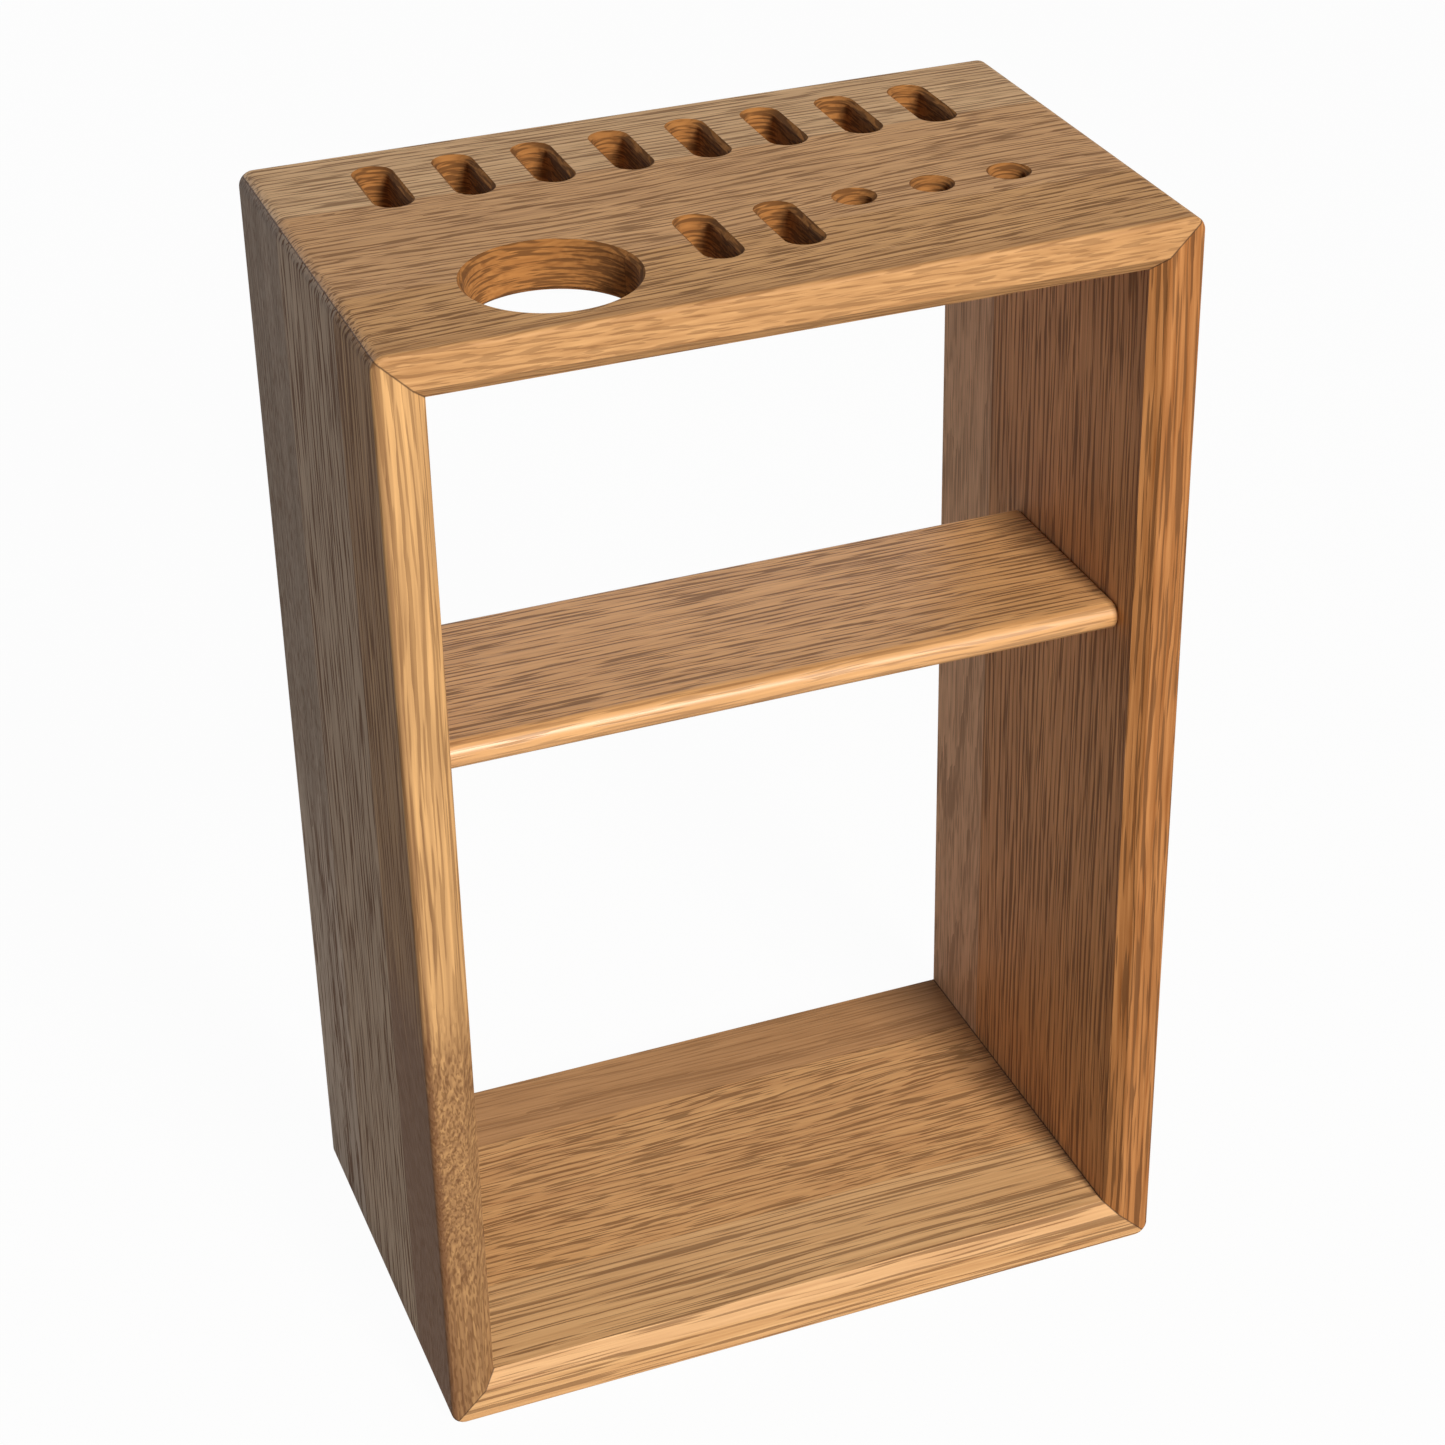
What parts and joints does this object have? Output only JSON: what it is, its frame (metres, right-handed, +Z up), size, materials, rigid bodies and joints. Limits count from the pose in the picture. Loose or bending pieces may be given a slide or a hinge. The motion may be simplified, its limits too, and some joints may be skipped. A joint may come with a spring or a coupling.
{
  "type": "tool storage caddy",
  "caption": "Oak caddy: a mitred case open at front and back, with a shelf, and a top cut through with round-ended slots and round holes that hold hobby tools upright.",
  "frame": {"origin": "middle of the footprint, on the surface that the caddy stands on", "axes": "+X to the right and +Y to the back, as seen from the front with the large round hole at the left; +Z up"},
  "size_m": [0.239, 0.142, 0.36],
  "materials": {
    "top_rear_stave": "oiled oak, pale straight grain",
    "top_middle_stave": "oiled oak, coarse grain",
    "top_front_stave": "oiled oak, fine grain",
    "bottom_rear_stave": "oiled oak, plain",
    "bottom_middle_stave": "oiled oak, coarse grain",
    "bottom_front_stave": "oiled oak, fine grain",
    "left_rear_stave": "oiled oak, open pores",
    "left_middle_stave": "oiled oak, plain",
    "left_front_stave": "oiled oak, striped grain",
    "right_rear_stave": "oiled oak, plain",
    "right_front_stave": "oiled oak, rift grain",
    "shelf": "oiled oak, fine straight grain",
    "biscuit": "pressed beech",
    "dowel": "planed beech"
  },
  "bodies": {
    "root": {"top_rear_stave": "top_rear_stave", "top_middle_stave": "top_middle_stave", "top_front_stave": "top_front_stave", "bottom_rear_stave": "bottom_rear_stave", "bottom_middle_stave": "bottom_middle_stave", "bottom_front_stave": "bottom_front_stave", "left_rear_stave": "left_rear_stave", "left_middle_stave": "left_middle_stave", "left_front_stave": "left_front_stave", "right_rear_stave": "right_rear_stave", "right_front_stave": "right_front_stave", "shelf": "shelf", "biscuit_top_left_front": "biscuit", "biscuit_top_left_rear": "biscuit", "biscuit_top_right_front": "biscuit", "biscuit_top_right_rear": "biscuit", "biscuit_bottom_left_front": "biscuit", "biscuit_bottom_left_rear": "biscuit", "biscuit_bottom_right_front": "biscuit", "biscuit_bottom_right_rear": "biscuit", "dowel_left_front": "dowel", "dowel_left_rear": "dowel", "dowel_right_front": "dowel", "dowel_right_rear": "dowel"}
  },
  "joints": []
}
